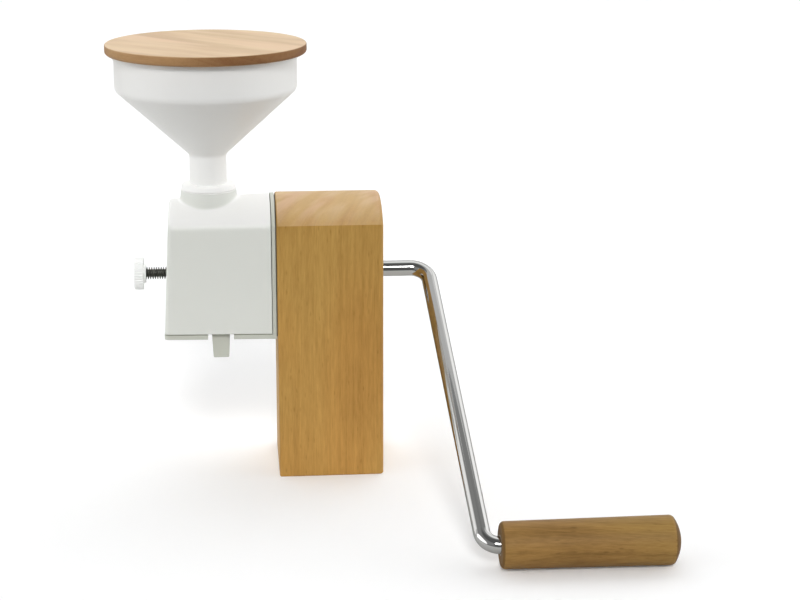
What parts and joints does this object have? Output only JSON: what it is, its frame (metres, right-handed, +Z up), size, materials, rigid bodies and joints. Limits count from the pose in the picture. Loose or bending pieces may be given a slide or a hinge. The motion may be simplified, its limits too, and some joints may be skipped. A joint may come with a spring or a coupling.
{
  "type": "hand cranked grain flaker",
  "caption": "Hand cranked grain flaker: wooden post with a bent crank rod on one side, hooded roller unit, hopper with wooden lid and gap adjusting screw on the other.",
  "frame": {"origin": "centre of the wooden block's foot", "axes": "+X along the crank axis towards the crank, +Z up, -Y the front"},
  "size_m": [0.3288, 0.2687, 0.2759],
  "materials": {
    "block_wood": "oiled beech, vertical grain",
    "grip_wood": "oiled beech, grain along the grip",
    "lid_wood": "sanded beech",
    "white_plastic": "satin moulded plastic",
    "hopper_plastic": "satin moulded plastic",
    "knob_plastic": "satin moulded plastic",
    "bush_plastic": "natural bearing plastic",
    "rod_chrome": "bright chrome plate",
    "roller_steel": "ground stainless steel",
    "plain_steel": "zinc plated",
    "black_steel": "black oxide",
    "bush_bronze": "sintered bronze",
    "insert_brass": "turned brass"
  },
  "bodies": {
    "flaker_base": {"wooden_block": "block_wood", "shaft_bush_right": "bush_bronze", "shaft_bush_left": "bush_bronze", "roller_frame": "white_plastic", "frame_screws": "plain_steel", "bearing_plate": "white_plastic", "plate_screws": "plain_steel", "roller_bush_right": "bush_plastic", "roller_bush_left": "bush_plastic", "upper_axle": "plain_steel", "lower_axle": "plain_steel", "axle_nuts": "plain_steel", "front_feed_guide": "white_plastic", "rear_feed_guide": "white_plastic", "hood": "white_plastic", "thread_insert": "insert_brass"},
    "crank": {"crank_rod": "rod_chrome", "retaining_ring": "plain_steel", "thrust_washer": "plain_steel", "drive_coupling": "plain_steel", "coupling_pin": "plain_steel", "grip_clip": "plain_steel"},
    "grip": {"wooden_grip": "grip_wood", "grip_sleeve": "bush_plastic"},
    "thrust_slide": {"thrust_ball": "roller_steel"},
    "adjuster": {"adjusting_screw": "black_steel", "adjusting_knob": "knob_plastic"},
    "drive_cone": {"drive_roller": "roller_steel"},
    "upper_idler": {"upper_idler_roller": "roller_steel", "upper_idler_bushes": "bush_plastic"},
    "lower_idler": {"lower_idler_roller": "roller_steel", "lower_idler_bushes": "bush_plastic"},
    "hopper": {"hopper_funnel": "hopper_plastic"},
    "lid": {"hopper_lid": "lid_wood"},
    "front_tab": {"front_release_tab": "white_plastic"},
    "rear_tab": {"rear_release_tab": "white_plastic"}
  },
  "joints": [
    {"name": "crank_turn", "type": "hinge", "parent": "flaker_base", "child": "crank", "pos_m": [0, 0, 0.1288], "axis": [1, 0, 0], "continuous": true},
    {"name": "grip_spin", "type": "hinge", "parent": "crank", "child": "grip", "pos_m": [0.14, -0.19177, 0.0144], "axis": [1, 0, 0], "continuous": true},
    {"name": "thrust_travel", "type": "slide", "parent": "flaker_base", "child": "thrust_slide", "axis": [1, 0, 0], "range_m": [-0.00225, 0.00225]},
    {"name": "adjuster_turn", "type": "hinge", "parent": "thrust_slide", "child": "adjuster", "pos_m": [-0.11, 0, 0.1288], "axis": [1, 0, 0], "range_deg": [-540.1, 540.1]},
    {"name": "drive_cone_spin", "type": "hinge", "parent": "thrust_slide", "child": "drive_cone", "pos_m": [-0.0665, 0, 0.1288], "axis": [1, 0, 0], "continuous": true},
    {"name": "upper_idler_spin", "type": "hinge", "parent": "flaker_base", "child": "upper_idler", "pos_m": [-0.0665, 0.01453, 0.14611], "axis": [1, 0, 0], "continuous": true},
    {"name": "lower_idler_spin", "type": "hinge", "parent": "flaker_base", "child": "lower_idler", "pos_m": [-0.0665, 0.0113, 0.10923], "axis": [1, 0, 0], "continuous": true},
    {"name": "hopper_lift", "type": "slide", "parent": "flaker_base", "child": "hopper", "axis": [0, 0, 1], "range_m": [0, 0.06]},
    {"name": "lid_lift", "type": "slide", "parent": "hopper", "child": "lid", "axis": [0, 0, 1], "range_m": [0, 0.06]},
    {"name": "front_tab_press", "type": "hinge", "parent": "flaker_base", "child": "front_tab", "pos_m": [-0.0693, -0.0252, 0.106], "axis": [1, 0, 0], "range_deg": [0, 8], "stiffness_Nm_per_rad": 0.3},
    {"name": "rear_tab_press", "type": "hinge", "parent": "flaker_base", "child": "rear_tab", "pos_m": [-0.0693, 0.0252, 0.106], "axis": [-1, 0, 0], "range_deg": [0, 8], "stiffness_Nm_per_rad": 0.3}
  ],
  "couplings": [
    {"joint": "drive_cone_spin", "follows": "crank_turn", "ratio": 1},
    {"joint": "upper_idler_spin", "follows": "crank_turn", "ratio": -1.2603},
    {"joint": "lower_idler_spin", "follows": "crank_turn", "ratio": -1.2603},
    {"joint": "adjuster_turn", "follows": "thrust_travel", "rad_per_m": 4188.8}
  ]
}
